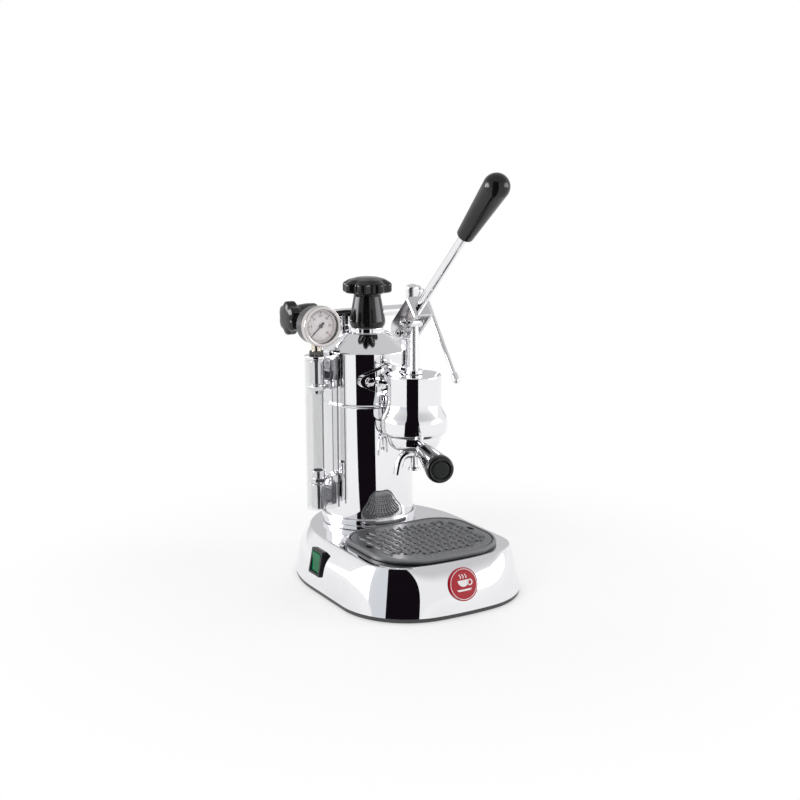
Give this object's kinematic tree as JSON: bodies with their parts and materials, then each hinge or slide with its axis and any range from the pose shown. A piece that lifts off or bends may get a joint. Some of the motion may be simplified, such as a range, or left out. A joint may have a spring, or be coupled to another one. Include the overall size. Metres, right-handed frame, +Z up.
{
  "type": "lever espresso machine",
  "caption": "Home lever espresso machine: tall boiler on a base with drip tray, piston group with a hand lever, portafilter, sight glass, pressure gauge and steam wand.",
  "frame": {"origin": "middle of the machine's bounding box in plan, on the plane of its feet", "axes": "+Z up, the lever and the tray face -Y, the sight glass and the switch are at -X"},
  "size_m": [0.2004, 0.3274, 0.4336],
  "materials": {
    "black_bakelite": "polished black bakelite",
    "brass": "satin brass",
    "chrome": "polished chrome plate",
    "clear_plastic": "clear plastic",
    "dark_plastic": "matt dark plastic",
    "glass": "clear glass",
    "green_plastic": "gloss green plastic",
    "grey_plastic": "satin grey plastic",
    "needle_paint": "matt black paint",
    "red_enamel": "gloss red enamel",
    "rubber": "matt rubber",
    "steel": "satin stainless steel",
    "white_paint": "matt white paint"
  },
  "bodies": {
    "machine": {"badge": "red_enamel", "base_shell": "chrome", "boiler_body": "chrome", "boiler_ring": "chrome", "bottom_pan": "dark_plastic", "cord_gland": "rubber", "element_flange": "steel", "foot_1": "rubber", "foot_2": "rubber", "foot_3": "rubber", "foot_4": "rubber", "fulcrum_pin": "chrome", "fulcrum_pin_clip": "steel", "gauge_bezel": "chrome", "gauge_case": "steel", "gauge_dial": "white_paint", "gauge_glass": "glass", "gland_nut": "chrome", "group_bell": "chrome", "group_bolt_left": "chrome", "group_bolt_right": "chrome", "group_gasket": "rubber", "group_sleeve": "brass", "heating_element": "steel", "portafilter_seal": "rubber", "shower_screen": "steel", "sight_lower_fitting": "chrome", "sight_nut_lower": "chrome", "sight_nut_upper": "chrome", "sight_shield": "clear_plastic", "sight_top_plate": "chrome", "sight_tube": "glass", "sight_upper_fitting": "chrome", "steam_ball_nut": "chrome", "steam_valve_body": "chrome", "switch_bezel": "black_bakelite"},
    "piston": {"piston_head": "steel", "piston_seal_lower": "rubber", "piston_seal_upper": "rubber", "piston_rod": "chrome", "piston_pin": "chrome", "piston_pin_clip": "steel"},
    "lever": {"lever_fork": "chrome", "lever_rod": "chrome", "lever_handle": "black_bakelite"},
    "cap_gasket_lift": {"cap_gasket": "rubber"},
    "cap": {"cap_knob": "black_bakelite", "cap_plug": "brass"},
    "steam_tap": {"steam_knob": "black_bakelite", "steam_spindle": "steel"},
    "rocker": {"switch_rocker": "green_plastic"},
    "portafilter": {"portafilter_bowl": "chrome", "filter_basket": "steel", "portafilter_handle": "black_bakelite", "handle_end_cap": "dark_plastic", "spout": "chrome"},
    "tray": {"drip_tray": "grey_plastic"},
    "grille": {"drip_grille": "steel"},
    "needle": {"gauge_needle": "needle_paint"},
    "wand": {"steam_wand": "chrome"}
  },
  "joints": [
    {"name": "lever_hinge", "type": "hinge", "parent": "machine", "child": "lever", "pos_m": [0.00024, 0.00559, 0.27], "axis": [1, 0, 0], "range_deg": [-12.5, 86.5]},
    {"name": "piston_slide", "type": "slide", "parent": "machine", "child": "piston", "axis": [0, 0, -1], "range_m": [-0.00375, 0.02596]},
    {"name": "cap_lift", "type": "slide", "parent": "machine", "child": "cap_gasket_lift", "axis": [0, 0, 1], "range_m": [0, 0.008]},
    {"name": "cap_turn", "type": "hinge", "parent": "cap_gasket_lift", "child": "cap", "pos_m": [0.00024, 0.09049, 0.2663], "axis": [0, 0, 1], "range_deg": [0, 1445]},
    {"name": "steam_tap_turn", "type": "hinge", "parent": "machine", "child": "steam_tap", "pos_m": [0.00024, 0.11859, 0.2775], "axis": [-1, 0, 0], "range_deg": [0, 540]},
    {"name": "switch_rock", "type": "hinge", "parent": "machine", "child": "rocker", "pos_m": [-0.09452, 0.02959, 0.03249], "axis": [0, 1, 0], "range_deg": [0, 16]},
    {"name": "portafilter_turn", "type": "hinge", "parent": "machine", "child": "portafilter", "pos_m": [0.00024, -0.00771, 0.1696], "axis": [0, 0, 1], "range_deg": [-40, 8]},
    {"name": "tray_lift", "type": "slide", "parent": "machine", "child": "tray", "axis": [0, 0, 1], "range_m": [0, 0.015]},
    {"name": "grille_lift", "type": "slide", "parent": "tray", "child": "grille", "axis": [0, 0, 1], "range_m": [0, 0.012]},
    {"name": "gauge_needle_turn", "type": "hinge", "parent": "machine", "child": "needle", "pos_m": [-0.07026, 0.05757, 0.2745], "axis": [0, 1, 0], "range_deg": [0, 240]},
    {"name": "wand_swing", "type": "hinge", "parent": "machine", "child": "wand", "pos_m": [0.08254, 0.11859, 0.2972], "axis": [1, 0, 0], "range_deg": [-40, 60]}
  ],
  "couplings": [
    {"joint": "lever_hinge", "follows": "piston_slide", "rad_per_m": 58.14},
    {"joint": "cap_turn", "follows": "cap_lift", "rad_per_m": 3141.6}
  ]
}
